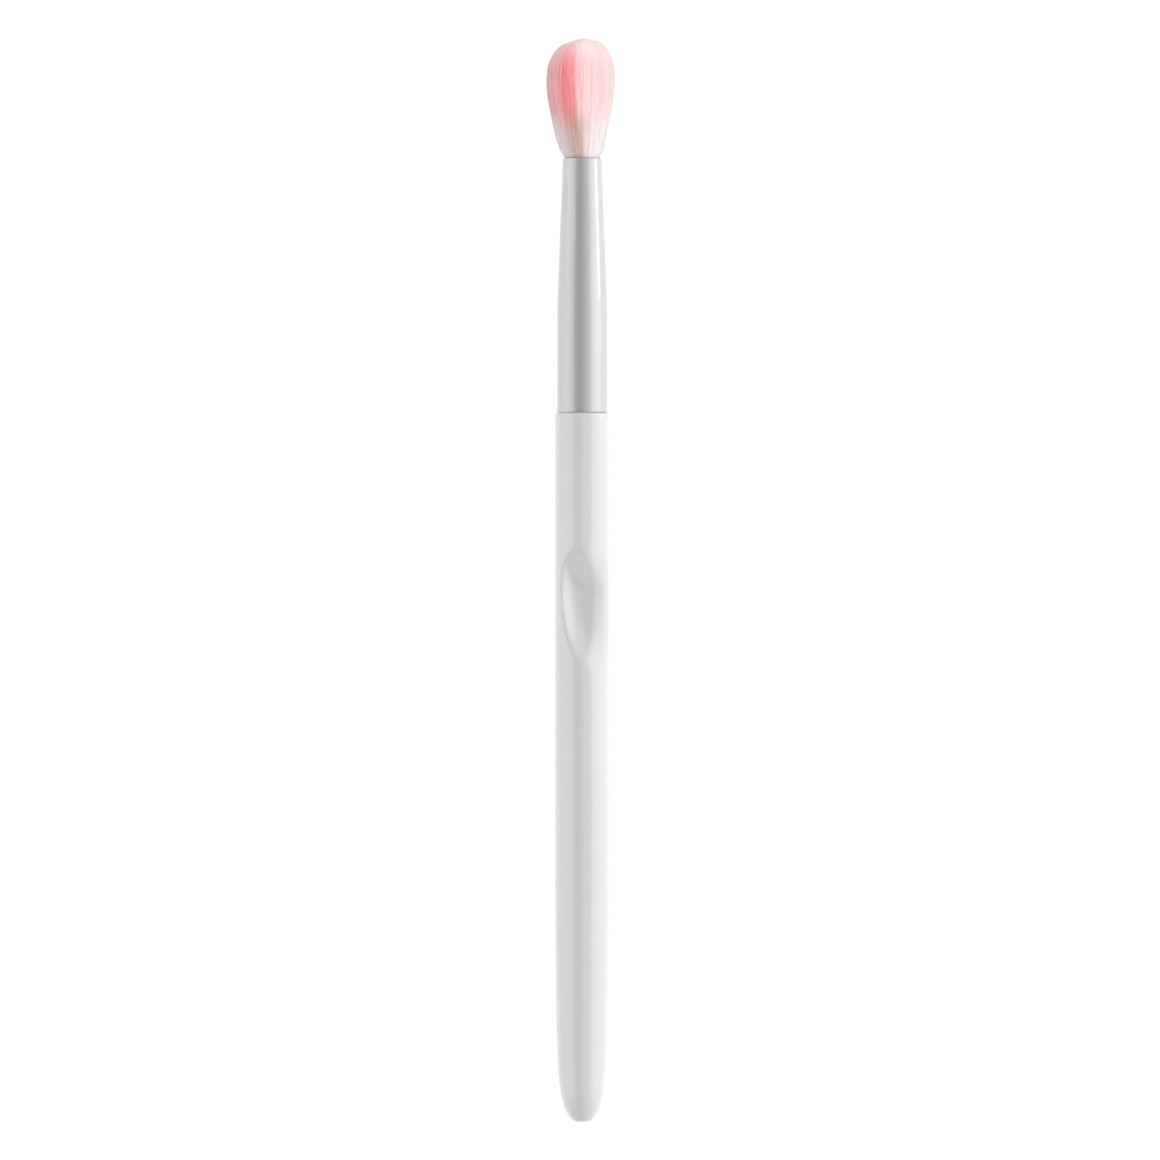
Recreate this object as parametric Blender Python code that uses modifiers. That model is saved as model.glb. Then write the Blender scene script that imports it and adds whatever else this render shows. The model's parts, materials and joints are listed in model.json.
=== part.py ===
"""Eyebrow brush: a moulded handle with a thumb recess, a drawn ferrule and a domed tuft.

Metres, +Z up. Each piece is turned about its own +Z from its own base, and placed at its height
along the brush's axis, which is the Z of the empty that they share: the butt is at 0 and the thumb
recess faces the empty's -Y. The empty then lays the brush down as it rests on a table, the tuft
towards +X and the recess up, with the origin under the middle of the whole.
"""

import math
import random

import bmesh
import bpy
from mathutils import Matrix, Vector, geometry

# Handle
HANDLE_LENGTH = 0.1079
HANDLE_RADIUS = 0.00422
SHOULDER_ROUND = 0.00025
BUTT_FLAT_RADIUS = 0.0011
BUTT_LENGTH = 0.020
BUTT_RISE = 5.6
BUTT_ROUND = 1.66
BUTT_NARROWING = 0.00055
NARROWING_LENGTH = 0.040
BUTT_RING_SPACING = 2.4

# Thumb recess: a turned ellipsoid cut into the front, placed by its deepest point. Two planes fill
# its bottom, a floor and a ramp at its upper end. Each passes over the deepest point at its rise,
# and its tilt and its slope say how much it comes forward for each unit to the right and upwards.
RECESS_DEPTH = 0.00275
RECESS_BELOW_SHOULDER = 0.02702
RECESS_OFFSET = 0.00031
RECESS_HALF_WIDTH = 0.0093
RECESS_HALF_DEPTH = 0.0140
RECESS_HALF_LENGTH = 0.0300
RECESS_ROLL = math.radians(-32.3)
RECESS_TILT = math.radians(-42.5)
RECESS_LEAN = math.radians(8.8)
FLOOR_RISE = 0.00025
FLOOR_TILT = 0.12
FLOOR_SLOPE = -0.10
RAMP_RISE = 0.00005
RAMP_TILT = 0.25
RAMP_SLOPE = 0.46

# Tenon that goes up into the straight part of the ferrule
TENON_SETBACK = 0.0014
TENON_CHAMFER = 0.0006
GROOVE_COUNT = 3
GROOVE_WIDTH = 0.0014
GROOVE_DEPTH = 0.0004

# Ferrule: FERRULE_STEP is how far it stands back from the handle's side
FERRULE_STEP = 0.00034
FERRULE_STRAIGHT = 0.0146
FERRULE_TAPER = 0.0238
FERRULE_ELBOW = 0.0040
MOUTH_RADIUS = 0.00305
FERRULE_WALL = 0.0003

# Tuft: from the ferrule's mouth it swells, widens to its belly, runs straight and ends in a dome.
# STRAND_FILL is a strand's half-width as a share of the bundle's radius over the root of the count.
SWELL_LENGTH = 0.0045
SWELL_RADIUS = 0.00408
WIDENING_LENGTH = 0.0057
BELLY_LENGTH = 0.0038
BELLY_RADIUS = 0.00526
DOME_HEIGHT = 0.0044
STRAND_COUNT = 330
STRAND_FILL = 0.58
STRAND_TIP_SCATTER = 0.00035
ROOT_DEPTH = 0.0090
SLICE_THICKNESS = 0.0020
SLICE_EDGE = 0.00010

# Pieces hidden in the ferrule
THREAD_DIAMETER = 0.00034
THREAD_TURNS = 4
THREAD_RISE = 0.0025
PLUG_LENGTH = 0.0055
PLUG_DISH = 0.0008
GLUE_THICKNESS = 0.0003
GLUE_INSET = 0.0010

# Clearances
SEAT_GAP = 0.0003
FIT_GAP = 0.0002

# Resolution
TURN_STEPS = 48
ARC_STEPS = 3
BUTT_STEPS = 14
NARROWING_STEPS = 4
ELBOW_STEPS = 4
DISH_STEPS = 3
RECESS_STEPS = 72
MERGE_DISTANCE = 0.00001
CREASE_ANGLE = math.radians(40)
SEED = 7
GOLDEN_ANGLE = math.pi * (3.0 - math.sqrt(5.0))
MILLIMETRE = 0.001

# Sizes and places that follow, heights from the butt
FERRULE_LENGTH = FERRULE_STRAIGHT + FERRULE_TAPER
FERRULE_RADIUS = HANDLE_RADIUS - FERRULE_STEP
FERRULE_BASE_HEIGHT = HANDLE_LENGTH + SEAT_GAP
MOUTH_HEIGHT = FERRULE_BASE_HEIGHT + FERRULE_LENGTH
TENON_RADIUS = FERRULE_RADIUS - FERRULE_WALL - GLUE_THICKNESS - 2.0 * FIT_GAP
TENON_LENGTH = FERRULE_STRAIGHT + SEAT_GAP - TENON_SETBACK
ROOT_HEIGHT = MOUTH_HEIGHT - ROOT_DEPTH
THREAD_HEIGHT = ROOT_HEIGHT + THREAD_RISE
PLUG_HEIGHT = ROOT_HEIGHT - SLICE_THICKNESS - SEAT_GAP - PLUG_LENGTH


def linear(hex_colour):
    """The linear colour of an sRGB hex string, with alpha 1."""
    channels = [int(hex_colour[i:i + 2], 16) / 255.0 for i in (1, 3, 5)]
    return [c / 12.92 if c <= 0.04045 else ((c + 0.055) / 1.055) ** 2.4 for c in channels] + [1.0]


def make_material(name, hex_colour, roughness, metallic=0.0):
    """A Principled material of one colour."""
    material = bpy.data.materials.new(name)
    material.use_nodes = True
    shader = material.node_tree.nodes["Principled BSDF"]
    shader.inputs["Base Color"].default_value = linear(hex_colour)
    shader.inputs["Roughness"].default_value = roughness
    shader.inputs["Metallic"].default_value = metallic
    return material


def evaluated_mesh(obj):
    """A new mesh with the object's modifiers applied."""
    graph = bpy.context.evaluated_depsgraph_get()
    return bpy.data.meshes.new_from_object(obj.evaluated_get(graph))


def apply_modifiers(obj):
    """Replace the object's mesh by its evaluated one, shaded smooth but for its creases."""
    mesh = evaluated_mesh(obj)
    obj.modifiers.clear()
    obj.data = mesh
    mesh.shade_smooth()
    mesh.set_sharp_from_angle(angle=CREASE_ANGLE)


def turned(name, outline, collection, closed=False):
    """Turn (radius, height) points, which run down the outer side from the top, about Z."""
    points = [(radius, 0.0, height) for radius, height in outline]
    edges = [(i, i + 1) for i in range(len(points) - 1)]
    if closed:
        edges.append((len(points) - 1, 0))
    mesh = bpy.data.meshes.new(name)
    mesh.from_pydata(points, edges, [])
    obj = bpy.data.objects.new(name, mesh)
    collection.objects.link(obj)
    screw = obj.modifiers.new("Turn", "SCREW")
    screw.steps = TURN_STEPS
    screw.render_steps = TURN_STEPS
    screw.use_merge_vertices = True
    screw.merge_threshold = MERGE_DISTANCE
    apply_modifiers(obj)
    return obj


def arc(centre, radius, start, end, steps=ARC_STEPS):
    """Points of an arc from the angle start to end, in degrees from +radius towards +height."""
    angles = [math.radians(start + (end - start) * i / steps) for i in range(steps + 1)]
    return [(centre[0] + radius * math.cos(a), centre[1] + radius * math.sin(a)) for a in angles]


def handle_radius(height):
    """The handle narrows towards the butt, and the butt rounds off as a superellipse."""
    below = max(0.0, 1.0 - height / NARROWING_LENGTH)
    grip = HANDLE_RADIUS - BUTT_NARROWING * below ** 2
    if height >= BUTT_LENGTH:
        return grip
    fall = (1.0 - height / BUTT_LENGTH) ** BUTT_RISE
    return BUTT_FLAT_RADIUS + (grip - BUTT_FLAT_RADIUS) * (1.0 - fall) ** (1.0 / BUTT_ROUND)


def groove_heights():
    """Middle heights of the tenon's glue grooves above the shoulder, spread evenly."""
    return [TENON_LENGTH * (i + 1) / (GROOVE_COUNT + 1) for i in range(GROOVE_COUNT)]


def handle_outline():
    """From the tenon's top, down over its grooves and the shoulder, to the middle of the butt."""
    tenon_top = HANDLE_LENGTH + TENON_LENGTH
    points = [(0.0, tenon_top), (TENON_RADIUS - TENON_CHAMFER, tenon_top)]
    points.append((TENON_RADIUS, tenon_top - TENON_CHAMFER))
    for middle in reversed(groove_heights()):
        top = HANDLE_LENGTH + middle + GROOVE_WIDTH / 2.0
        bottom = top - GROOVE_WIDTH
        points += [(TENON_RADIUS, top), (TENON_RADIUS - GROOVE_DEPTH, top)]
        points += [(TENON_RADIUS - GROOVE_DEPTH, bottom), (TENON_RADIUS, bottom)]
    points.append((TENON_RADIUS, HANDLE_LENGTH))
    shoulder = (HANDLE_RADIUS - SHOULDER_ROUND, HANDLE_LENGTH - SHOULDER_ROUND)
    points += arc(shoulder, SHOULDER_ROUND, 90.0, 0.0)
    for i in range(NARROWING_STEPS + 1):
        height = NARROWING_LENGTH + (BUTT_LENGTH - NARROWING_LENGTH) * i / NARROWING_STEPS
        points.append((handle_radius(height), height))
    for i in reversed(range(BUTT_STEPS)):
        height = BUTT_LENGTH * (i / BUTT_STEPS) ** BUTT_RING_SPACING
        points.append((handle_radius(height), height))
    points.append((0.0, 0.0))
    return points


def trim_behind(bm, point, tilt, slope):
    """Trim off what lies behind a plane through a point, and close the cut."""
    forward = Vector((-tilt, -1.0, -slope)).normalized()
    everything = bm.verts[:] + bm.edges[:] + bm.faces[:]
    cut = bmesh.ops.bisect_plane(
        bm, geom=everything, dist=MERGE_DISTANCE, plane_co=point, plane_no=forward, clear_inner=True
    )
    rim = [part for part in cut["geom_cut"] if isinstance(part, bmesh.types.BMEdge)]
    bmesh.ops.edgeloop_fill(bm, edges=rim)


def make_recess_cutter(collection):
    """The trimmed ellipsoid that cuts the thumb recess, its deepest point set against the front."""
    tilted = Matrix.Rotation(RECESS_LEAN, 3, "Y") @ Matrix.Rotation(RECESS_TILT, 3, "X")
    turn = tilted @ Matrix.Rotation(RECESS_ROLL, 3, "Z")
    inward = turn.transposed() @ Vector((0.0, 1.0, 0.0))
    half_sizes = Vector((RECESS_HALF_WIDTH, RECESS_HALF_DEPTH, RECESS_HALF_LENGTH))
    stretched = Vector(half * part for half, part in zip(half_sizes, inward))
    touch = Vector(half * part for half, part in zip(half_sizes, stretched)) / stretched.length
    height = HANDLE_LENGTH - RECESS_BELOW_SHOULDER
    deepest = Vector((RECESS_OFFSET, RECESS_DEPTH - HANDLE_RADIUS, height))

    mesh = bpy.data.meshes.new("recess_cutter")
    bm = bmesh.new()
    place = Matrix.Translation(deepest - turn @ touch) @ turn.to_4x4() @ Matrix.Diagonal(half_sizes).to_4x4()
    bmesh.ops.create_uvsphere(
        bm, u_segments=RECESS_STEPS, v_segments=RECESS_STEPS, radius=1.0, matrix=place
    )
    trim_behind(bm, deepest - Vector((0.0, FLOOR_RISE, 0.0)), FLOOR_TILT, FLOOR_SLOPE)
    trim_behind(bm, deepest - Vector((0.0, RAMP_RISE, 0.0)), RAMP_TILT, RAMP_SLOPE)
    bm.to_mesh(mesh)
    bm.free()
    cutter = bpy.data.objects.new("recess_cutter", mesh)
    cutter.hide_render = True
    cutter.display_type = "WIRE"
    collection.objects.link(cutter)
    return cutter


def make_handle(parts, cutters):
    """The moulded handle: body, butt, shoulder and tenon, with the thumb recess cut in."""
    handle = turned("handle", handle_outline(), parts)
    cut = handle.modifiers.new("Recess", "BOOLEAN")
    cut.operation = "DIFFERENCE"
    cut.solver = "EXACT"
    cut.object = make_recess_cutter(cutters)
    bpy.context.view_layer.update()
    apply_modifiers(handle)
    handle.data.materials.append(make_material("gloss_white_abs", "#F2F2F3", 0.22))
    return handle


def ferrule_radius(height):
    """Outer radius above the ferrule's base: straight, a parabolic elbow, then a straight taper."""
    elbow_middle = FERRULE_STRAIGHT + FERRULE_ELBOW / 2.0
    slope = (FERRULE_RADIUS - MOUTH_RADIUS) / (FERRULE_LENGTH - elbow_middle)
    along = height - FERRULE_STRAIGHT
    if along <= 0.0:
        return FERRULE_RADIUS
    if along < FERRULE_ELBOW:
        return FERRULE_RADIUS - slope * along ** 2 / (2.0 * FERRULE_ELBOW)
    return FERRULE_RADIUS - slope * (height - elbow_middle)


def bore_radius(height):
    """Inner radius of the ferrule at a height above the butt."""
    return ferrule_radius(height - FERRULE_BASE_HEIGHT) - FERRULE_WALL


def make_ferrule(parts):
    """The drawn tube, with a rounded edge at its mouth and at its base."""
    lip = FERRULE_WALL / 2.0
    elbow = [FERRULE_STRAIGHT + FERRULE_ELBOW * i / ELBOW_STEPS for i in range(ELBOW_STEPS + 1)]
    mouth = (MOUTH_RADIUS - lip, FERRULE_LENGTH - lip)
    outline = arc(mouth, lip, 180.0, 0.0)
    outline += [(ferrule_radius(height), height) for height in reversed(elbow)]
    outline += arc((FERRULE_RADIUS - lip, lip), lip, 0.0, -180.0)
    outline += [(ferrule_radius(height) - FERRULE_WALL, height) for height in elbow]
    ferrule = turned("ferrule", outline, parts, closed=True)
    ferrule.location.z = FERRULE_BASE_HEIGHT
    ferrule.data.materials.append(make_material("satin_white_aluminium", "#DADADB", 0.32, 0.7))
    return ferrule


def bundle_radius():
    """Outside of the tied bundle of roots, inside the thread and the ferrule's bore."""
    thread_top = THREAD_HEIGHT + THREAD_DIAMETER * THREAD_TURNS
    return bore_radius(thread_top) - THREAD_DIAMETER - 2.0 * FIT_GAP


def strand_girth(radius):
    """Half-width of a strand where the bundle has this radius, so that neighbours stay apart."""
    return STRAND_FILL * radius / math.sqrt(STRAND_COUNT)


def dome_rise(radius):
    """Height of the domed end over its own base at a distance from the axis: half an ellipse."""
    return DOME_HEIGHT * math.sqrt(max(0.0, 1.0 - (radius / BELLY_RADIUS) ** 2))


def around(angle):
    """The unit vector at an angle from +X."""
    return Vector((math.cos(angle), math.sin(angle)))


def strand_feet():
    """Middles of the strands' feet, as shares of the bundle's radius, in a sunflower pattern."""
    turns = [i * GOLDEN_ANGLE for i in range(STRAND_COUNT)]
    shares = [math.sqrt((i + 0.5) / STRAND_COUNT) for i in range(STRAND_COUNT)]
    return [around(turn) * share for turn, share in zip(turns, shares)]


def root_slice(bm, feet):
    """The slice of bonded roots. Returns the triangle on its top from which each strand grows."""
    girth = strand_girth(bundle_radius())
    points = []
    for foot in feet:
        facing = math.atan2(foot.y, foot.x)
        for corner in range(3):
            outward = around(facing + math.tau * corner / 3.0)
            points.append(foot * (bundle_radius() - girth) + outward * girth)
    for i in range(TURN_STEPS):
        points.append(around(math.tau * i / TURN_STEPS) * (bundle_radius() + SLICE_EDGE))

    # The triangulation works in millimetres, where its rounding is small beside a strand
    flat = [point / MILLIMETRE for point in points]
    triangles = [(3 * i, 3 * i + 1, 3 * i + 2) for i in range(len(feet))]
    rim = [len(feet) * 3 + i for i in range(TURN_STEPS)]
    rim_edges = list(zip(rim, rim[1:] + rim[:1]))
    corners, _, faces, _, _, sources = geometry.delaunay_2d_cdt(flat, rim_edges, triangles, 1, 1e-6)

    verts = [bm.verts.new((corner * MILLIMETRE).to_3d()) for corner in corners]
    grown = {}
    for face, source in zip(faces, sources):
        made = bm.faces.new([verts[i] for i in face])
        if source:
            grown[source[0]] = made
    edge = [e for e in bm.edges if e.is_boundary]
    skirt = bmesh.ops.extrude_edge_only(bm, edges=edge)["geom"]
    lower = [item for item in skirt if isinstance(item, bmesh.types.BMVert)]
    bmesh.ops.translate(bm, vec=(0.0, 0.0, -SLICE_THICKNESS), verts=lower)
    hem = [e for e in bm.edges if e.is_boundary]
    bmesh.ops.edgeloop_fill(bm, edges=hem)
    return [grown[i] for i in range(len(feet))]


def grow_strand(bm, face, levels, tip):
    """Extrude a strand from its foot through levels of (middle, girth), and end it in a point."""
    for middle, girth in levels:
        face = bmesh.ops.extrude_discrete_faces(bm, faces=[face])["faces"][0]
        old_middle = face.calc_center_median()
        for vert in face.verts:
            vert.co = middle + (vert.co - old_middle).normalized() * girth
    point = bmesh.ops.poke(bm, faces=[face])["verts"][0]
    point.co = tip


def make_tuft(parts):
    """The tuft: strands that share one slice, spread like one sheaf so that none cross."""
    scatter = random.Random(SEED)
    belly_height = ROOT_DEPTH + SWELL_LENGTH + WIDENING_LENGTH
    stations = [
        (ROOT_DEPTH, bore_radius(MOUTH_HEIGHT) - FIT_GAP),
        (ROOT_DEPTH + SWELL_LENGTH, SWELL_RADIUS),
        (belly_height, BELLY_RADIUS),
    ]
    bm = bmesh.new()
    feet = strand_feet()
    for foot, face in zip(feet, root_slice(bm, feet)):
        levels = []
        for height, radius in stations:
            girth = strand_girth(radius)
            middle = foot * (radius - girth)
            levels.append((Vector((middle.x, middle.y, height)), girth))
        top = belly_height + BELLY_LENGTH + dome_rise(middle.length)
        top -= STRAND_TIP_SCATTER * scatter.random()
        grow_strand(bm, face, levels, Vector((middle.x, middle.y, top)))
    bmesh.ops.recalc_face_normals(bm, faces=bm.faces)
    mesh = bpy.data.meshes.new("bristle_tuft")
    bm.to_mesh(mesh)
    bm.free()
    mesh.materials.append(make_material("pink_filament", "#EFA9AC", 0.55))
    tuft = bpy.data.objects.new("bristle_tuft", mesh)
    tuft.location.z = ROOT_HEIGHT
    parts.objects.link(tuft)
    return tuft


def make_binding_thread(parts):
    """The turns of thread round the bundle, as one band with a bulge for each turn."""
    half = THREAD_DIAMETER / 2.0
    inner = bundle_radius() + FIT_GAP
    outline = [(inner, THREAD_DIAMETER * THREAD_TURNS)]
    for turn in reversed(range(THREAD_TURNS)):
        middle = (inner + half, THREAD_DIAMETER * turn + half)
        outline += arc(middle, half, 60.0, -60.0, steps=2)
    outline.append((inner, 0.0))
    thread = turned("binding_thread", outline, parts, closed=True)
    thread.location.z = THREAD_HEIGHT
    thread.data.materials.append(make_material("cotton_thread", "#E9E2D4", 0.85))
    return thread


def make_root_plug(parts):
    """The epoxy behind the roots: it fills the bore, with a rim round the slice of roots."""
    slice_radius = bundle_radius() + SLICE_EDGE + FIT_GAP
    rim_top = PLUG_LENGTH + SLICE_THICKNESS
    foot_radius = bore_radius(PLUG_HEIGHT) - FIT_GAP
    outline = [
        (0.0, PLUG_LENGTH),
        (slice_radius, PLUG_LENGTH),
        (slice_radius, rim_top),
        (bore_radius(PLUG_HEIGHT + rim_top) - FIT_GAP, rim_top),
    ]
    for i in range(DISH_STEPS + 1):
        share = 1.0 - i / DISH_STEPS
        outline.append((foot_radius * share, PLUG_DISH * (1.0 - share ** 2)))
    plug = turned("root_plug", outline, parts)
    plug.location.z = PLUG_HEIGHT
    plug.data.materials.append(make_material("amber_epoxy", "#B98A4A", 0.25))
    return plug


def make_handle_glue(parts):
    """The adhesive between the tenon and the ferrule, with a rib in each groove."""
    outer = FERRULE_RADIUS - FERRULE_WALL - FIT_GAP
    inner = TENON_RADIUS + FIT_GAP
    rib = inner - GROOVE_DEPTH
    length = TENON_LENGTH - 2.0 * GLUE_INSET
    half_rib = GROOVE_WIDTH / 2.0 - FIT_GAP
    outline = [(inner, length), (outer, length), (outer, 0.0), (inner, 0.0)]
    for middle in groove_heights():
        low = middle - GLUE_INSET - half_rib
        high = middle - GLUE_INSET + half_rib
        outline += [(inner, low), (rib, low), (rib, high), (inner, high)]
    glue = turned("handle_glue", outline, parts, closed=True)
    glue.location.z = HANDLE_LENGTH + GLUE_INSET
    glue.data.materials.append(make_material("clear_adhesive", "#D8CFB4", 0.3))
    return glue


def new_collection(name):
    """A collection linked to the scene."""
    collection = bpy.data.collections.new(name)
    bpy.context.scene.collection.children.link(collection)
    return collection


def resting_pitch(points):
    """The pitch at which the side outline's lower hull edge, under the middle, lies level."""
    side = [Vector((point.z, point.y)) for point in points]
    hull = [side[i] for i in geometry.convex_hull_2d(side)]
    middle = max(point.x for point in side) / 2.0
    edges = [sorted(edge, key=lambda end: end.x) for edge in zip(hull, hull[1:] + hull[:1])]
    across = [edge for edge in edges if edge[0].x < middle < edge[1].x]
    near, far = max(across, key=lambda edge: edge[0].y + edge[1].y)
    return math.atan2(far.y - near.y, far.x - near.x)


def lay_down(root, pieces):
    """Turn the empty so that the brush lies on Z = 0, centred on the origin."""
    bpy.context.view_layer.update()
    points = [piece.matrix_world @ v.co for piece in pieces for v in piece.data.vertices]
    lying = Matrix(((0.0, 0.0, 1.0), (-1.0, 0.0, 0.0), (0.0, -1.0, 0.0)))
    turn = Matrix.Rotation(-resting_pitch(points), 3, "Y") @ lying
    placed = [turn @ point for point in points]
    low = Vector(min(point[axis] for point in placed) for axis in range(3))
    high = Vector(max(point[axis] for point in placed) for axis in range(3))
    root.rotation_euler = turn.to_euler()
    root.location = (-(low.x + high.x) / 2.0, -(low.y + high.y) / 2.0, -low.z)


def main():
    """Build the brush in an emptied scene, with its pieces parented to one empty."""
    for obj in list(bpy.data.objects):
        bpy.data.objects.remove(obj)
    parts = new_collection("eyebrow_brush")
    cutters = new_collection("cutters")
    root = bpy.data.objects.new("brush_axis", None)
    parts.objects.link(root)
    pieces = [
        make_handle(parts, cutters),
        make_ferrule(parts),
        make_tuft(parts),
        make_binding_thread(parts),
        make_root_plug(parts),
        make_handle_glue(parts),
    ]
    for piece in pieces:
        piece.parent = root
    lay_down(root, pieces)


main()
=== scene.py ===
"""Looks of a cosmetic brush that lies on a pale table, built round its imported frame.

Metres, +Z up. Each new piece is worked out in the brush's own axis frame: z runs from the butt to
the tuft, -y is the front, which carries the thumb recess and faces up as the brush lies, and +x is
the side that the camera sees on the right. BrushAxis then places it in the world.
"""

import json
import logging
import math
from dataclasses import dataclass
from enum import Enum

import bpy
import numpy as np
from mathutils import Matrix


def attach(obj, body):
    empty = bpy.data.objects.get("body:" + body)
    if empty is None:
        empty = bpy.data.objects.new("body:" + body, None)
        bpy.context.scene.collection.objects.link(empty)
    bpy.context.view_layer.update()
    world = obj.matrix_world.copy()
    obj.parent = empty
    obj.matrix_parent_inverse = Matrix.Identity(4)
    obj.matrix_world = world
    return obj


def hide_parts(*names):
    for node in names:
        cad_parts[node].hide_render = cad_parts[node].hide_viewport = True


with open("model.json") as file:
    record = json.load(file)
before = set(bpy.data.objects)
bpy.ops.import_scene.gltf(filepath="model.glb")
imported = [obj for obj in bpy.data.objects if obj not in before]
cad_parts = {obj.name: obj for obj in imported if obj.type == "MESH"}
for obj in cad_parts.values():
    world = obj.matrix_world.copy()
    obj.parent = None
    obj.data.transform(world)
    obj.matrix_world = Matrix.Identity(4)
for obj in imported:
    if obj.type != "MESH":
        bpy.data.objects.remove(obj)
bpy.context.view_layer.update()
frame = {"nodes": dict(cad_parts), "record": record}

BODY = "root"
MILLIMETRE = 0.001
CREASE_ANGLE = math.radians(40)
GOLDEN_ANGLE = math.pi * (3.0 - math.sqrt(5.0))

# Input and output numbers of the Mix node when it mixes colours
MIX_SHARE = 0
MIX_FIRST = 6
MIX_SECOND = 7
MIX_RESULT = 2

logging.basicConfig(level=logging.INFO, format="%(message)s")
log = logging.getLogger("brush")


class Slot(Enum):
    """The record's material slots."""

    HANDLE = "handle_abs"
    FERRULE = "ferrule_aluminium"
    TUFT = "tuft_filament"
    THREAD = "thread_cotton"
    PLUG = "root_epoxy"
    GLUE = "joint_adhesive"


class Layer(Enum):
    """The tuft's layers, as shares of its radius from the axis outwards."""

    INNER = (0.0, 0.58)
    MIDDLE = (0.58, 0.82)
    OUTER = (0.82, 1.0)


def smooth_step(low: float, high: float, value: np.ndarray) -> np.ndarray:
    """Rise from 0 at low to 1 at high: 3t^2 - 2t^3, where t is the share of the way.

    Args:
        low: where the rise starts.
        high: where it ends.
        value: the values to look up.

    Returns:
        The height of the rise at each value.
    """
    share = np.clip((value - low) / (high - low), 0.0, 1.0)
    return share * share * (3.0 - 2.0 * share)


def smooth_max(first: np.ndarray, second: np.ndarray, rounding: np.ndarray | float) -> np.ndarray:
    """The larger of two values, with the corner between them rounded.

    It is max(a, b) + h^2 k / 4, with h = max(k - |a - b|, 0) / k.

    Args:
        first: a.
        second: b.
        rounding: k, about the radius of the round.

    Returns:
        The rounded maximum.
    """
    near = np.maximum(rounding - np.abs(first - second), 0.0) / rounding
    return np.maximum(first, second) + near ** 2 * rounding / 4.0


def linear(hex_colour: str) -> tuple[float, float, float, float]:
    """Turn an sRGB hex string into a linear colour.

    A channel c becomes c / 12.92 up to 0.04045, and ((c + 0.055) / 1.055)^2.4 above.

    Args:
        hex_colour: a string such as "#F0F0F1".

    Returns:
        Red, green and blue in linear light, and an alpha of 1.
    """
    channels = [int(hex_colour[i:i + 2], 16) / 255.0 for i in (1, 3, 5)]
    light = [c / 12.92 if c <= 0.04045 else ((c + 0.055) / 1.055) ** 2.4 for c in channels]
    return (*light, 1.0)


@dataclass(frozen=True)
class BrushAxis:
    """Where the brush's own axis frame lies in the world."""

    butt: np.ndarray
    turn: np.ndarray

    @classmethod
    def from_mount(cls, mount: dict) -> "BrushAxis":
        """Read the axis from the record's mount on the flat of the butt.

        The axis runs against the mount's outward direction. Right is the world's -Y, and the back,
        the cross product of the axis and the right, is what is left.

        Args:
            mount: the mount, with pos_m and axis.

        Returns:
            The axis frame.
        """
        along = -np.array(mount["axis"], float)
        along /= np.linalg.norm(along)
        right = np.array([0.0, -1.0, 0.0])
        back = np.cross(along, right)
        return cls(np.array(mount["pos_m"], float), np.stack([right, back, along], axis=1))

    def place(self, points: np.ndarray) -> np.ndarray:
        """Carry points of the axis frame into the world: butt + turn x point.

        Args:
            points: an array whose last axis holds x, y and z.

        Returns:
            The same points in the world.
        """
        return self.butt + points @ self.turn.T

    def reach(self, node: bpy.types.Object) -> tuple[float, float]:
        """Find how far a frame node reaches along the axis.

        Args:
            node: the node's object.

        Returns:
            Its lowest and its highest distance from the butt.
        """
        coords = np.zeros(len(node.data.vertices) * 3)
        node.data.vertices.foreach_get("co", coords)
        heights = (coords.reshape(-1, 3) - self.butt) @ self.turn[:, 2]
        return float(heights.min()), float(heights.max())


def add_node(
    tree: bpy.types.NodeTree,
    kind: str,
    sockets: dict | None = None,
    **settings: object,
) -> bpy.types.Node:
    """Add a node with its settings, and give its inputs their values or their links.

    Args:
        tree: the node tree.
        kind: the node's type.
        sockets: for an input's name or number, its value or the output that it is linked from.
        settings: the node's own properties.

    Returns:
        The new node.
    """
    node = tree.nodes.new(kind)
    for name, value in settings.items():
        setattr(node, name, value)
    for key, value in (sockets or {}).items():
        if isinstance(value, bpy.types.NodeSocket):
            tree.links.new(value, node.inputs[key])
        else:
            node.inputs[key].default_value = value
    return node


def empty_material(name: str) -> tuple[bpy.types.Material, bpy.types.NodeTree]:
    """Make a material whose node tree is empty.

    Args:
        name: the material's name.

    Returns:
        The material and its tree.
    """
    material = bpy.data.materials.new(name)
    material.use_nodes = True
    material.node_tree.nodes.clear()
    return material, material.node_tree


def shade_by(
    tree: bpy.types.NodeTree,
    pattern: bpy.types.NodeSocket,
    colours: tuple[str, str],
    roughness: float,
    spread: float,
) -> dict[str, bpy.types.NodeSocket]:
    """Let a pattern drive a surface's colour and its roughness.

    Args:
        tree: the material's tree.
        pattern: the pattern's socket, from 0 to 1.
        colours: the colours at 0 and at 1.
        roughness: the roughness in the middle.
        spread: how far it goes to either side.

    Returns:
        The driving sockets, by the names of the shader's inputs.
    """
    colour = add_node(
        tree,
        "ShaderNodeMix",
        {MIX_SHARE: pattern, MIX_FIRST: linear(colours[0]), MIX_SECOND: linear(colours[1])},
        data_type="RGBA",
    )
    gloss = add_node(
        tree,
        "ShaderNodeMapRange",
        {"Value": pattern, "To Min": roughness - spread, "To Max": roughness + spread},
    )
    return {"Base Color": colour.outputs[MIX_RESULT], "Roughness": gloss.outputs["Result"]}


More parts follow.
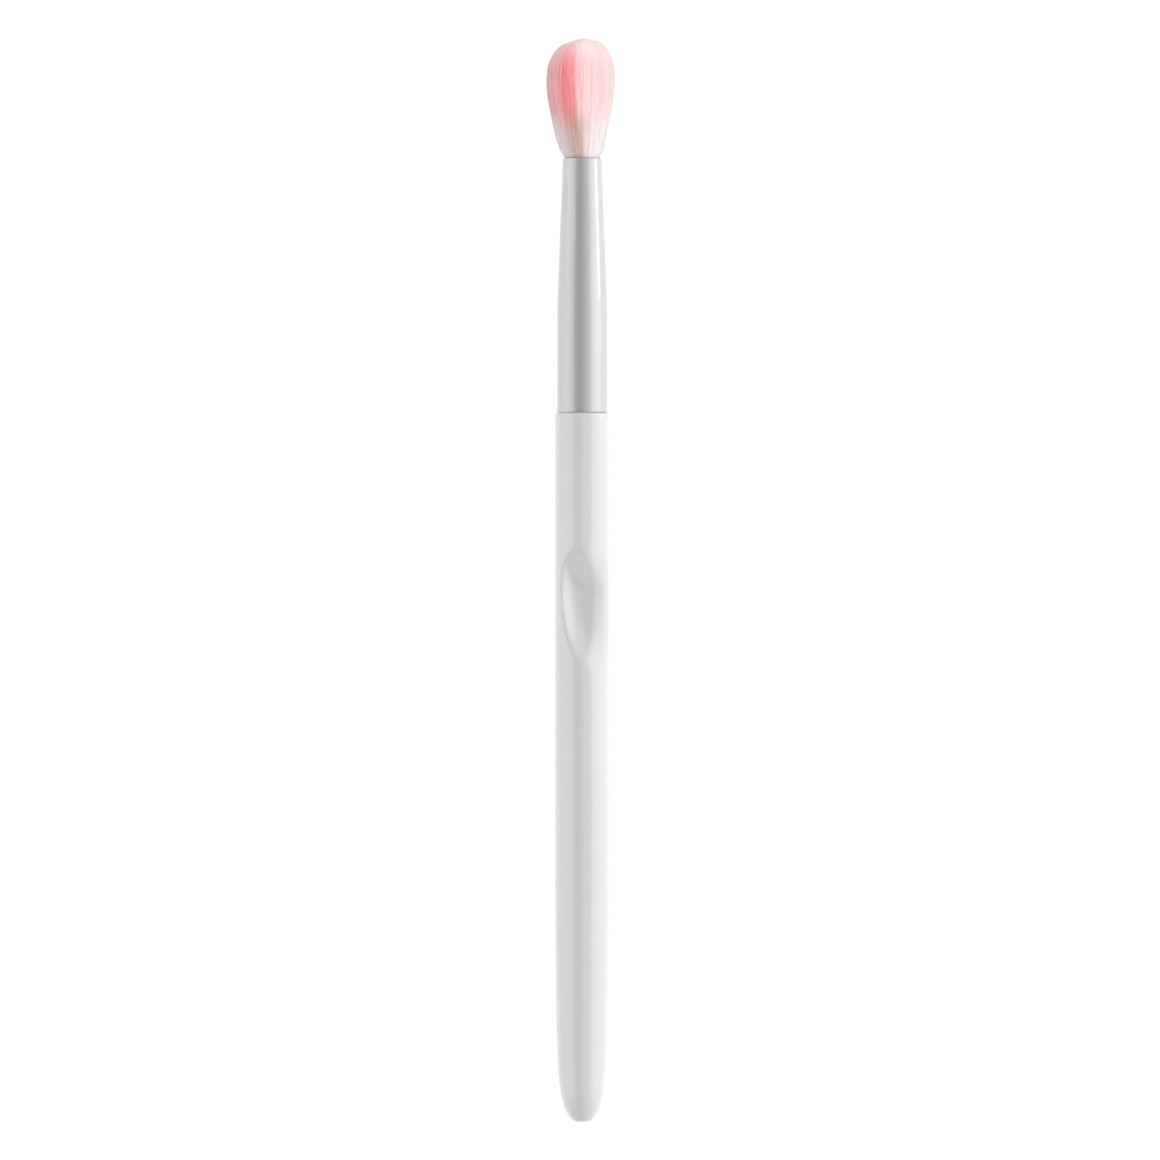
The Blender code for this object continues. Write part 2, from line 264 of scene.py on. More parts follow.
def skin(name: str, grid: np.ndarray, closed: bool) -> bpy.types.Mesh:
    """Make a mesh from a grid of points whose columns go round.

    Quads join each row to the next and each column to the next, the last column to the first. Where
    the rows are closed, the last row joins the first. Where they aren't, the first and the last row
    are closed by a pole in their middle.

    Args:
        name: the mesh's name.
        grid: points as rows by columns by three, the rows running from the top down.
        closed: whether the rows go round too.

    Returns:
        The mesh, smooth but for its creases.
    """
    rows, columns = grid.shape[:2]
    index = np.arange(rows * columns).reshape(rows, columns)
    below = np.roll(index, -1, axis=0)
    upper, lower = (index, below) if closed else (index[:-1], below[:-1])
    quads = np.stack([upper, lower, np.roll(lower, -1, axis=1), np.roll(upper, -1, axis=1)], axis=-1)
    points = grid.reshape(-1, 3)
    faces = quads.reshape(-1, 4).tolist()
    if not closed:
        points = np.concatenate([points, [grid[0].mean(axis=0), grid[-1].mean(axis=0)]])
        top, bottom = np.full(columns, len(points) - 2), np.full(columns, len(points) - 1)
        faces += np.stack([top, index[0], np.roll(index[0], -1)], axis=-1).tolist()
        faces += np.stack([bottom, np.roll(index[-1], -1), index[-1]], axis=-1).tolist()
    mesh = bpy.data.meshes.new(name)
    mesh.from_pydata(points.tolist(), [], faces)
    mesh.shade_smooth()
    mesh.set_sharp_from_angle(angle=CREASE_ANGLE)
    return mesh


def show(name: str, mesh: bpy.types.Mesh, slot: Slot, *nodes: str) -> bpy.types.Object:
    """Put a mesh into the scene as a piece that rides on the brush and stands for frame nodes.

    Args:
        name: the piece's name.
        mesh: its mesh, in world coordinates.
        slot: the record's material slot; not used.
        nodes: the frame nodes that it stands for.

    Returns:
        The piece.
    """
    piece = bpy.data.objects.new(name, mesh)
    bpy.context.scene.collection.objects.link(piece)
    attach(piece, BODY)
    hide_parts(*nodes)
    log.info("%s: %d vertices, %d faces", name, len(mesh.vertices), len(mesh.polygons))
    return piece


def turned_grid(outline: np.ndarray, columns: int) -> np.ndarray:
    """Carry a profile round the axis: (r cos a, r sin a, z).

    Args:
        outline: (radius, height) points, as rows by two.
        columns: how many steps there are in a turn.

    Returns:
        Points as rows by columns by three.
    """
    angles = np.arange(columns) * math.tau / columns
    radius, height = outline[:, :1], outline[:, 1:]
    across = np.broadcast_arrays(radius * np.cos(angles), radius * np.sin(angles), height)
    return np.stack(across, axis=-1)


def arc(centre: tuple[float, float], radius: float, start: float, end: float, steps: int) -> np.ndarray:
    """Points of an arc in the profile's plane, centre + radius (cos a, sin a).

    Args:
        centre: its radius and height.
        radius: the arc's own radius.
        start: the first angle, in degrees from outwards towards up.
        end: the last angle.
        steps: how many steps there are between them.

    Returns:
        The points as rows by two.
    """
    angles = np.radians(np.linspace(start, end, steps + 1))
    return np.array(centre) + radius * np.stack([np.cos(angles), np.sin(angles)], axis=-1)


@dataclass(frozen=True)
class MouldedAbs:
    """Gloss ABS from a polished mould: an even white with a clean, slightly wavering highlight.

    The mould's real grain is finer than the render shows, so it is drawn coarser here.
    """

    colours: tuple[str, str] = ("#E0E0E1", "#DBDBDD")
    roughness: float = 0.20
    roughness_spread: float = 0.05
    refraction: float = 1.50
    flow_size: float = 6.0 * MILLIMETRE
    flow_detail: float = 3.0
    wave_size: float = 3.0 * MILLIMETRE
    wave_detail: float = 1.0
    wave_height: float = 0.004 * MILLIMETRE
    grain_size: float = 0.35 * MILLIMETRE
    grain_detail: float = 2.0
    grain_height: float = 0.0006 * MILLIMETRE

    def material(self) -> bpy.types.Material:
        """Make the material: faint flow clouds, a wavering gloss and a fine mould grain.

        Returns:
            The material.
        """
        material, tree = empty_material("gloss_moulded_abs")
        place = add_node(tree, "ShaderNodeTexCoord").outputs["Object"]
        patterns = (
            (self.flow_size, self.flow_detail),
            (self.wave_size, self.wave_detail),
            (self.grain_size, self.grain_detail),
        )
        flow, waves, grain = [
            add_node(
                tree, "ShaderNodeTexNoise", {"Vector": place, "Scale": 1.0 / size, "Detail": detail}
            ).outputs["Fac"]
            for size, detail in patterns
        ]
        waver = add_node(tree, "ShaderNodeBump", {"Height": waves, "Distance": self.wave_height})
        texture = add_node(
            tree,
            "ShaderNodeBump",
            {"Height": grain, "Distance": self.grain_height, "Normal": waver.outputs["Normal"]},
        )
        shades = shade_by(tree, flow, self.colours, self.roughness, self.roughness_spread)
        shader = add_node(
            tree,
            "ShaderNodeBsdfPrincipled",
            {**shades, "IOR": self.refraction, "Normal": texture.outputs["Normal"]},
        )
        add_node(tree, "ShaderNodeOutputMaterial", {"Surface": shader.outputs[0]})
        return material


@dataclass(frozen=True)
class LacqueredAluminium:
    """Drawn aluminium, satin anodised and lacquered: a soft grey sheen under a thin sharp highlight.

    The lines that drawing leaves on a real tube are finer than the render shows, so they are drawn
    coarser here.
    """

    colours: tuple[str, str] = ("#B3B3B5", "#ABABAE")
    metallic: float = 0.80
    roughness: float = 0.62
    roughness_spread: float = 0.04
    draw_spacing: float = 0.22 * MILLIMETRE
    draw_detail: float = 2.0
    draw_height: float = 0.0008 * MILLIMETRE
    draw_stretch: float = 60.0
    lacquer: float = 1.0
    lacquer_roughness: float = 0.06

    def material(self) -> bpy.types.Material:
        """Make the material: lines left by drawing run along the tube, under the lacquer.

        Returns:
            The material.
        """
        material, tree = empty_material("satin_lacquered_aluminium")
        place = add_node(tree, "ShaderNodeTexCoord").outputs["Object"]
        along = add_node(
            tree, "ShaderNodeMapping", {"Vector": place, "Scale": (1.0 / self.draw_stretch, 1.0, 1.0)}
        ).outputs["Vector"]
        lines = add_node(
            tree,
            "ShaderNodeTexNoise",
            {"Vector": along, "Scale": 1.0 / self.draw_spacing, "Detail": self.draw_detail},
        ).outputs["Fac"]
        bump = add_node(tree, "ShaderNodeBump", {"Height": lines, "Distance": self.draw_height})
        shades = shade_by(tree, lines, self.colours, self.roughness, self.roughness_spread)
        shader = add_node(
            tree,
            "ShaderNodeBsdfPrincipled",
            {
                **shades,
                "Metallic": self.metallic,
                "Normal": bump.outputs["Normal"],
                "Coat Weight": self.lacquer,
                "Coat Roughness": self.lacquer_roughness,
            },
        )
        add_node(tree, "ShaderNodeOutputMaterial", {"Surface": shader.outputs[0]})
        return material


@dataclass(frozen=True)
class DyedFilament:
    """Fine synthetic filament, dip dyed: cream where it is tied, coral where the dye took, silky.

    glow is the share of light that goes through it, and lamp_passes the share that its shadow lets by,
    since the tuft is drawn with fewer and thicker filaments than it has.
    """

    root_colour: str = "#FCF9F9"
    # The darker tan that one streak at the root turns to is painted shade
    painted_shade_colour: str = "#E8D3CC"
    pale_colour: str = "#FFFAF9"
    dye_colour: str = "#FFC9CD"
    roughness: float = 0.45
    refraction: float = 1.50
    glow: float = 0.5
    lamp_passes: float = 0.97

    def material(self) -> bpy.types.Material:
        """Make the material, which reads each filament's dye and tone from its mesh.

        Returns:
            The material.
        """
        material, tree = empty_material("dip_dyed_filament")
        marks = {
            mark: add_node(tree, "ShaderNodeAttribute", attribute_name=mark).outputs["Fac"]
            for mark in ("dip", "dye", "painted_shade", "tone")
        }
        # The root turns a darker tan in one streak, by the mark that carries the painted shade
        shades = (
            ("painted_shade", linear(self.root_colour), linear(self.painted_shade_colour)),
            ("dye", linear(self.pale_colour), linear(self.dye_colour)),
        )
        root, dyed = [
            add_node(
                tree,
                "ShaderNodeMix",
                {MIX_SHARE: marks[mark], MIX_FIRST: first, MIX_SECOND: second},
                data_type="RGBA",
            ).outputs[MIX_RESULT]
            for mark, first, second in shades
        ]
        dipped = add_node(
            tree,
            "ShaderNodeMix",
            {MIX_SHARE: marks["dip"], MIX_FIRST: root, MIX_SECOND: dyed},
            data_type="RGBA",
        )
        toned = add_node(
            tree,
            "ShaderNodeHueSaturation",
            {"Color": dipped.outputs[MIX_RESULT], "Value": marks["tone"]},
        ).outputs["Color"]
        shader = add_node(
            tree,
            "ShaderNodeBsdfPrincipled",
            {"Base Color": toned, "Roughness": self.roughness, "IOR": self.refraction},
        )
        through = add_node(tree, "ShaderNodeBsdfTranslucent", {"Color": toned})
        fibre = add_node(
            tree,
            "ShaderNodeMixShader",
            {"Fac": self.glow, 1: shader.outputs[0], 2: through.outputs[0]},
        )
        path = add_node(tree, "ShaderNodeLightPath")
        passed = add_node(
            tree,
            "ShaderNodeMath",
            {0: path.outputs["Is Shadow Ray"], 1: self.lamp_passes},
            operation="MULTIPLY",
        )
        clear = add_node(tree, "ShaderNodeBsdfTransparent")
        lit = add_node(
            tree,
            "ShaderNodeMixShader",
            {"Fac": passed.outputs[0], 1: fibre.outputs[0], 2: clear.outputs[0]},
        )
        add_node(tree, "ShaderNodeOutputMaterial", {"Surface": lit.outputs[0]})
        return material


@dataclass(frozen=True)
class HiddenFinish:
    """What a hidden piece is made of: its two shades, its gloss, and its mottle's size and height."""

    name: str
    colours: tuple[str, str]
    roughness: float
    refraction: float
    mottle_size: float
    mottle_height: float
    mottle_detail: float = 3.0

    def material(self) -> bpy.types.Material:
        """Make the material: a mottle of the two shades, with a bump of the same pattern.

        Returns:
            The material.
        """
        material, tree = empty_material(self.name)
        place = add_node(tree, "ShaderNodeTexCoord").outputs["Object"]
        mottle = add_node(
            tree,
            "ShaderNodeTexNoise",
            {"Vector": place, "Scale": 1.0 / self.mottle_size, "Detail": self.mottle_detail},
        ).outputs["Fac"]
        first, second = [linear(colour) for colour in self.colours]
        colour = add_node(
            tree,
            "ShaderNodeMix",
            {MIX_SHARE: mottle, MIX_FIRST: first, MIX_SECOND: second},
            data_type="RGBA",
        )
        bump = add_node(tree, "ShaderNodeBump", {"Height": mottle, "Distance": self.mottle_height})
        shader = add_node(
            tree,
            "ShaderNodeBsdfPrincipled",
            {
                "Base Color": colour.outputs[MIX_RESULT],
                "Roughness": self.roughness,
                "IOR": self.refraction,
                "Normal": bump.outputs["Normal"],
            },
        )
        add_node(tree, "ShaderNodeOutputMaterial", {"Surface": shader.outputs[0]})
        return material


# Twisted cotton is dull and fibrous, with a mottle as wide as its plies
COTTON = HiddenFinish(
    "twisted_cotton",
    colours=("#EDE6D8", "#D8CFBD"),
    roughness=0.9,
    refraction=1.5,
    mottle_size=0.12 * MILLIMETRE,
    mottle_height=0.02 * MILLIMETRE,
)

# Cast epoxy is glossy and amber, with the flow marks of pouring
EPOXY = HiddenFinish(
    "cast_amber_epoxy",
    colours=("#B98A4A", "#A87838"),
    roughness=0.2,
    refraction=1.55,
    mottle_size=0.8 * MILLIMETRE,
    mottle_height=0.01 * MILLIMETRE,
)

# Cured adhesive is glossy and pale, clouded by small bubbles
ADHESIVE = HiddenFinish(
    "cured_clear_adhesive",
    colours=("#DDD5BC", "#CFC5A6"),
    roughness=0.3,
    refraction=1.5,
    mottle_size=0.6 * MILLIMETRE,
    mottle_height=0.01 * MILLIMETRE,
)


@dataclass
class Handle:
    """The moulded handle: butt, grip, thumb recess, shoulder and the tenon inside the ferrule."""

    length: float = 0.1079
    radius: float = 0.00422

    # The shoulder's edge is an arc from level to nearly upright, which ends at so many degrees
    shoulder_round: float = 0.00025
    shoulder_end: float = 15.0
    shoulder_steps: int = 5

    # The grip narrows towards the butt, which rounds off to a small flat
    narrowing_length: float = 0.040
    butt_narrowing: float = 0.00055
    butt_length: float = 0.020
    butt_flat_radius: float = 0.0011
    butt_rise: float = 5.6
    butt_round: float = 1.66
    butt_row_spacing: float = 2.4

    # The recess is an ellipsoid's hollow, placed by its deepest point and turned by three angles
    recess_depth: float = 0.00275
    recess_below_shoulder: float = 0.02702
    recess_offset: float = 0.00031
    recess_half_width: float = 0.0093
    recess_half_depth: float = 0.0140
    recess_half_length: float = 0.0300
    recess_roll: float = math.radians(-32.3)
    recess_tilt: float = math.radians(-42.5)
    recess_lean: float = math.radians(8.8)
    recess_reach: float = 0.0125

    # Its rim is crisp, and grows softer from the middle to the right
    recess_rim_round: float = 0.0005
    recess_right_round: float = 0.0026
    recess_right_start: float = 0.0
    recess_right_end: float = 0.0030

    # Two planes fill its bottom, a floor and the ramp over it
    floor_rise: float = 0.00025
    floor_tilt: float = 0.12
    floor_slope: float = -0.10
    floor_round: float = 0.0004
    ramp_rise: float = 0.00005
    ramp_tilt: float = 0.25
    ramp_slope: float = 0.46
    ramp_round: float = 0.0005

    # The tenon, with its glue grooves
    tenon_radius: float = 0.00288
    tenon_chamfer: float = 0.0006
    groove_count: int = 3
    groove_width: float = 0.0014
    groove_depth: float = 0.0004

    # How finely it is drawn
    columns: int = 192
    recess_rows: int = 170
    plain_rows: int = 12
    narrowing_rows: int = 24
    butt_rows: int = 44
    halvings: int = 26

    def body_radius(self, height: np.ndarray) -> np.ndarray:
        """Radius without the recess.

        The grip narrows by (1 - z / narrowing length)^2 towards the butt, and the butt rounds off as a
        superellipse: flat + (grip - flat) (1 - (1 - z / butt length) ^ rise) ^ (1 / round).

        Args:
            height: distances from the butt.

        Returns:
            The radius at each.
        """
        below = np.maximum(0.0, 1.0 - height / self.narrowing_length)
        grip = self.radius - self.butt_narrowing * below ** 2
        fall = np.clip(1.0 - height / self.butt_length, 0.0, 1.0) ** self.butt_rise
        rounded = (1.0 - fall) ** (1.0 / self.butt_round)
        return self.butt_flat_radius + (grip - self.butt_flat_radius) * rounded

    def recess_height(self) -> float:
        """Height of the recess's deepest point."""
        return self.length - self.recess_below_shoulder

    def recess_frame(self) -> tuple[np.ndarray, np.ndarray, np.ndarray]:
        """Place the ellipsoid that hollows the recess by its deepest point.

        Its farthest point towards the back, turn (s^2 n) / |s n| from its middle, lies on the recess's
        deepest point, with s its half sizes and n the back's direction in its own frame.

        Returns:
            Its middle, its axes as columns, and its half sizes.
        """
        lean = Matrix.Rotation(self.recess_lean, 3, "Y")
        tilt = Matrix.Rotation(self.recess_tilt, 3, "X")
        roll = Matrix.Rotation(self.recess_roll, 3, "Z")
        turn = np.array(lean @ tilt @ roll)
        half_sizes = np.array([self.recess_half_width, self.recess_half_depth, self.recess_half_length])
        stretched = half_sizes * (turn.T @ np.array([0.0, 1.0, 0.0]))
        touch = half_sizes * stretched / np.linalg.norm(stretched)
        deepest = np.array([self.recess_offset, self.recess_depth - self.radius, self.recess_height()])
        return deepest - turn @ touch, turn, half_sizes

    def above_plane(self, point: np.ndarray, rise: float, tilt: float, slope: float) -> np.ndarray:
        """How far points stand in front of a plane that fills the recess's bottom.

        The plane's own distance from the axis is radius - depth + rise + tilt x right + slope x up,
        with right and up counted from the recess's deepest point.

        Args:
            point: the points, in the axis frame.
            rise: how far the plane passes over the recess's deepest point.
            tilt: how much it comes forward for each unit to the right.
            slope: how much it comes forward for each unit up the handle.

        Returns:
            The distances along the view, above 0 in front of the plane.
        """
        right = point[..., 0] - self.recess_offset
        up = point[..., 2] - self.recess_height()
        plane = self.radius - self.recess_depth + rise + tilt * right + slope * up
        return -point[..., 1] - plane

    def outside(self, radius: np.ndarray, angle: np.ndarray, height: np.ndarray) -> np.ndarray:
        """Signed depth outside the plastic of the point at a radius, angle and height.

        The plastic lies inside the body, a = r - body_radius(z), and outside the hollow. The hollow is
        an ellipsoid, b = (1 - q) q / |p / s|, with p the point in the ellipsoid's frame over its half
        sizes s, and q the length of p. The floor and the ramp fill its bottom: it is the smooth minimum
        of b and the distances in front of their two planes. Body and hollow meet in a smooth maximum,
        which rounds the recess's rim, and the rim on the right is rounder.

        Args:
            radius: distances from the axis.
            angle: angles from +x towards +y.
            height: distances from the butt.

        Returns:
            Below 0 inside the plastic, above 0 outside it.
        """
        middle, turn, half_sizes = self.recess_frame()
        point = np.stack([radius * np.cos(angle), radius * np.sin(angle), height], axis=-1)
        local = (point - middle) @ turn / half_sizes
        share = np.linalg.norm(local, axis=-1)
        hollow = (1.0 - share) * share / np.linalg.norm(local / half_sizes, axis=-1)
        body = radius - self.body_radius(height)
        floor = self.above_plane(point, self.floor_rise, self.floor_tilt, self.floor_slope)
        ramp = self.above_plane(point, self.ramp_rise, self.ramp_tilt, self.ramp_slope)
        hollow = -smooth_max(-hollow, -floor, self.floor_round)
        hollow = -smooth_max(-hollow, -ramp, self.ramp_round)
        right = smooth_step(self.recess_right_start, self.recess_right_end, point[..., 0])
        rim = self.recess_rim_round + (self.recess_right_round - self.recess_rim_round) * right
        return smooth_max(body, hollow, rim)

    def carved_radius(self, angle: np.ndarray, height: np.ndarray) -> np.ndarray:
        """Find the radius at which each ray from the axis leaves the plastic, by halving a bracket.

        Args:
            angle: angles from +x towards +y.
            height: distances from the butt.

        Returns:
            The radius at each.
        """
        low = np.full(angle.shape, self.butt_flat_radius / 2.0)
        high = self.body_radius(height)
        for _ in range(self.halvings):
            middle = (low + high) / 2.0
            inside = self.outside(middle, angle, height) < 0.0
            low = np.where(inside, middle, low)
            high = np.where(inside, high, middle)
        return (low + high) / 2.0

    def grip_heights(self) -> np.ndarray:
        """Place the grip's and the butt's rows, closer together where it curves.

        The butt's rows lie at butt length x (1 - t)^spacing, for even steps of t.

        Returns:
            Their heights, from the shoulder down.
        """
        recess_top = self.recess_height() + self.recess_reach
        recess_bottom = self.recess_height() - self.recess_reach
        plain = np.linspace(self.length - self.shoulder_round, recess_top, self.plain_rows)
        recess = np.linspace(recess_top, recess_bottom, self.recess_rows)
        lower = np.linspace(recess_bottom, self.narrowing_length, self.plain_rows)
        narrowing = np.linspace(self.narrowing_length, self.butt_length, self.narrowing_rows)
        butt = self.butt_length * np.linspace(1.0, 0.0, self.butt_rows) ** self.butt_row_spacing
        return np.concatenate([plain, recess[1:], lower[1:], narrowing[1:], butt[1:]])

    def tenon_outline(self, tenon_top: float) -> np.ndarray:
        """Draw the profile of the tenon with its glue grooves, and of the shoulder's rounded edge.

        Args:
            tenon_top: the height of the tenon's end.

        Returns:
            (radius, height) points from the top down.
        """
        tenon_length = tenon_top - self.length
        outer = self.tenon_radius
        bottom = outer - self.groove_depth
        points = [(outer - self.tenon_chamfer, tenon_top), (outer, tenon_top - self.tenon_chamfer)]
        for groove in reversed(range(self.groove_count)):
            middle = self.length + tenon_length * (groove + 1) / (self.groove_count + 1)
            upper = middle + self.groove_width / 2.0
            lower = middle - self.groove_width / 2.0
            points += [(outer, upper), (bottom, upper), (bottom, lower), (outer, lower)]
        points.append((outer, self.length))
        edge = (self.radius - self.shoulder_round, self.length - self.shoulder_round)
        shoulder = arc(edge, self.shoulder_round, 90.0, self.shoulder_end, self.shoulder_steps)
        return np.concatenate([np.array(points), shoulder])

    def build(self, axis: BrushAxis) -> bpy.types.Object:
        """Build the handle over its frame node.

        Args:
            axis: the brush's axis frame.

        Returns:
            The piece.
        """
        tenon_top = axis.reach(frame["nodes"]["handle"])[1]
        top = turned_grid(self.tenon_outline(tenon_top), self.columns)
        heights = self.grip_heights()
        angles = np.arange(self.columns) * math.tau / self.columns
        angle, height = np.meshgrid(angles, heights)
        radius = self.carved_radius(angle, height)
        grip = np.stack([radius * np.cos(angle), radius * np.sin(angle), height], axis=-1)
        grid = np.concatenate([top, grip])
        mesh = skin("moulded_handle", axis.place(grid), closed=False)
        return show("moulded_handle", mesh, Slot.HANDLE, "handle")

    def dress(self, piece: bpy.types.Object) -> None:
        """Give the handle its gloss plastic."""
        piece.data.materials.append(MouldedAbs().material())


@dataclass
class Ferrule:
    """The drawn tube: straight over the tenon, an elbow, then a taper to the tuft."""

    radius: float = 0.00388
    mouth_radius: float = 0.00305
    wall: float = 0.0003
    straight: float = 0.01487
    elbow: float = 0.0040

    # The frame's solid keeps a gap to the handle's shoulder, and the real tube comes down to it
    foot_drop: float = 0.00029
    foot_round: float = 0.00006

    # How finely it is drawn
    columns: int = 192
    straight_rows: int = 20
    elbow_rows: int = 20
    taper_rows: int = 30
    lip_steps: int = 10
    foot_steps: int = 4

    def outer_radius(self, height: np.ndarray, length: float) -> np.ndarray:
        """Outer radius over the base.

        Straight, then radius - slope t^2 / 2 elbow over the elbow, t from its start, then a straight
        taper of that slope to the mouth.

        Args:
            height: distances from the base.
            length: the ferrule's length.

        Returns:
            The radius at each.
        """
        slope = (self.radius - self.mouth_radius) / (length - self.straight - self.elbow / 2.0)
        along = np.maximum(height - self.straight, 0.0)
        bend = np.minimum(along, self.elbow)
        return self.radius - slope * (bend ** 2 / (2.0 * self.elbow) + along - bend)

    def outline(self, base: float, mouth: float) -> np.ndarray:
        """Draw the closed profile: the mouth's lip, down the outer side, the cut foot, up the bore.

        Args:
            base: the height of the foot over the butt.
            mouth: the height of the mouth.

        Returns:
            (radius, height) points.
        """
        length = mouth - base
        lip = self.wall / 2.0
        bend = self.straight + self.elbow
        heights = np.concatenate([
            np.linspace(length - lip, bend, self.taper_rows),
            np.linspace(bend, self.straight, self.elbow_rows)[1:],
            np.linspace(self.straight, self.foot_round, self.straight_rows)[1:],
        ])
        radii = self.outer_radius(heights, length)
        outer = np.stack([radii, heights], axis=-1)
        bore = np.stack([radii - self.wall, heights], axis=-1)[::-1]
        mouth_lip = arc((self.mouth_radius - lip, length - lip), lip, 180.0, 0.0, self.lip_steps)
        foot = self.foot_round
        foot_outside = arc((self.radius - foot, foot), foot, 0.0, -90.0, self.foot_steps)
        foot_inside = arc((self.radius - self.wall + foot, foot), foot, -90.0, -180.0, self.foot_steps)
        profile = np.concatenate([mouth_lip, outer[1:-1], foot_outside, foot_inside, bore[1:-1]])
        return profile + np.array([0.0, base])

    def build(self, axis: BrushAxis) -> bpy.types.Object:
        """Build the ferrule over its frame node.

        Args:
            axis: the brush's axis frame.

        Returns:
            The piece.
        """
        base, mouth = axis.reach(frame["nodes"]["ferrule"])
        grid = turned_grid(self.outline(base - self.foot_drop, mouth), self.columns)
        mesh = skin("drawn_ferrule", axis.place(grid), closed=True)
        return show("drawn_ferrule", mesh, Slot.FERRULE, "ferrule")

    def dress(self, piece: bpy.types.Object) -> None:
        """Give the ferrule its lacquered metal."""
        piece.data.materials.append(LacqueredAluminium().material())


@dataclass
class Tuft:
    """The tuft: several thousand tapered filaments that share one outline, in three layers."""

    # The bundle bulges over the ferrule's lip, widens to its belly and is closed by a dome
    bore_radius: float = 0.00255
    mouth_bulge: float = 0.0006
    bulge_length: float = 0.0005
    belly_radius: float = 0.00526
    widening_length: float = 0.0110
    widening_ease: float = 1.25
    dome_base: float = 0.0125
    dome_height: float = 0.00595
    dome_power: float = 2.15

    # It bends to the left at the mouth and back to the right in the dome, and is flatter in depth
    bend: float = -0.00022
    bend_length: float = 0.0040
    dome_shift: float = 0.0004
    depth_share: float = 0.975

    # Each filament is a thin tube of a few rings. Its open part starts some radii inside the mouth
    filament_count: int = 6600
    filament_radius: float = 0.000036
    tip_radius: float = 0.000007
    taper_start: float = 0.65
    sides: int = 3
    rings: int = 15
    ring_crowding: float = 1.35
    start_depth: float = 6.0

    # Where the tips end, in shares of the dome's height
    spread_from: float = 0.88
    spread_round: float = 0.04
    tip_setback: float = 0.004
    tip_slant: float = 0.055
    tip_scatter: float = 0.16

    # How the filaments gather in clumps and sway
    clump_count: int = 300
    clump_pull: float = 0.10
    sway: float = 0.022

    # Where the dye starts and where it is full, over the mouth, and how much lower it starts on the
    # left, partly as painted shade
    dip_low: float = 0.0040
    dip_high: float = 0.0092
    left_dip_and_shade: float = 0.0014
    dip_scatter: float = 0.0005

    # How pink the filaments are all round, on the left, which is partly painted shade, and in a streak,
    # and where it fades
    dye_all: float = 0.13
    left_dye_and_shade: float = 0.30
    dye_streak: float = 0.66
    dye_scatter: float = 0.08
    tip_fade: float = 0.72
    fade_low: float = 0.0130
    fade_high: float = 0.0180
    # How much the painted shade at the root and the tone vary from filament to filament
    painted_shade_scatter: float = 0.35
    tone_scatter: float = 0.05

    # The middle of the pink streak and of the painted shade at the root, from the front towards the
    # right, and their widths, in degrees
    streak_side: float = -27.0
    streak_width: float = 15.0
    painted_shade_side: float = -13.0
    painted_shade_width: float = 24.0

    seed: int = 2

    def outline(self, rise: np.ndarray) -> np.ndarray:
        """Radius of the whole bundle over the ferrule's mouth, without the dome.

        Inside the bore it is the bore's. Past the mouth the filaments bulge over the lip, by
        bulge (1 - e^(-s / l)), and the bundle widens by (1 - (1 - s / w)^ease) to its belly.

        Args:
            rise: distances over the mouth.

        Returns:
            The radius at each.
        """
        out = np.maximum(rise, 0.0)
        bulge = self.mouth_bulge * (1.0 - np.exp(-out / self.bulge_length))
        spread = 1.0 - np.clip(1.0 - out / self.widening_length, 0.0, 1.0) ** self.widening_ease
        widened = self.belly_radius - self.bore_radius - self.mouth_bulge
        return self.bore_radius + bulge + widened * spread

    def feet(self) -> np.ndarray:
        """Place the filaments in a sunflower pattern.

        The n-th of N stands sqrt((n + 0.5) / N) from the middle, a golden angle on from the last.

        Returns:
            Points of the unit disc.
        """
        count = np.arange(self.filament_count)
        share = np.sqrt((count + 0.5) / self.filament_count)
        angle = count * GOLDEN_ANGLE
        return np.stack([share * np.cos(angle), share * np.sin(angle)], axis=-1)

    def clumps(self, feet: np.ndarray, chance: np.random.Generator) -> np.ndarray:
        """Gather the filaments into clumps, each to the nearest of a few random middles.

        Args:
            feet: points of the unit disc.
            chance: the source of random numbers.

        Returns:
            For each filament, the middle of its clump.
        """
        share = np.sqrt(chance.random(self.clump_count))
        angle = chance.random(self.clump_count) * math.tau
        middles = np.stack([share * np.cos(angle), share * np.sin(angle)], axis=-1)
        apart = np.linalg.norm(feet[:, None] - middles[None], axis=-1)
        return middles[apart.argmin(axis=1)]

    def dome_share(self, rise: np.ndarray) -> np.ndarray:
        """How far up the dome a height over the mouth lies: 0 at its base, 1 at its top."""
        return np.clip((rise - self.dome_base) / self.dome_height, 0.0, 1.0)

    def dome_width(self, share: np.ndarray) -> np.ndarray:
        """Width of the dome, as a share of its base, at a share of its height; its own inverse."""
        return (1.0 - np.clip(share, 0.0, 1.0) ** self.dome_power) ** (1.0 / self.dome_power)

    def tip_rises(self, feet: np.ndarray, chance: np.random.Generator) -> np.ndarray:
        """Height of each tip over the mouth.

        A tip ends on the dome, at dome(s w) of its height, with s its distance from the bundle's
        middle and w the width over which the tips spread. It stops short of that by a setback, by a
        slant that grows towards the left as ((1 - x) / 2)^2, and by a random part.

        Args:
            feet: points of the unit disc.
            chance: the source of random numbers.

        Returns:
            The height for each filament.
        """
        slanted = self.tip_slant * ((1.0 - feet[:, 0]) / 2.0) ** 2
        spread = self.dome_width(np.array(self.spread_from))
        outer = 1.0 - self.dome_width(spread * np.linalg.norm(feet, axis=-1))
        short = self.tip_setback + outer + slanted + self.tip_scatter * chance.random(len(feet)) ** 2
        return self.dome_base + self.dome_height * (1.0 - short)

    def ring_shares(self) -> np.ndarray:
        """Place of each ring up a filament's open part, 1 - (1 - t)^crowding for even steps of t."""
        return 1.0 - np.linspace(1.0, 0.0, self.rings - 1) ** self.ring_crowding

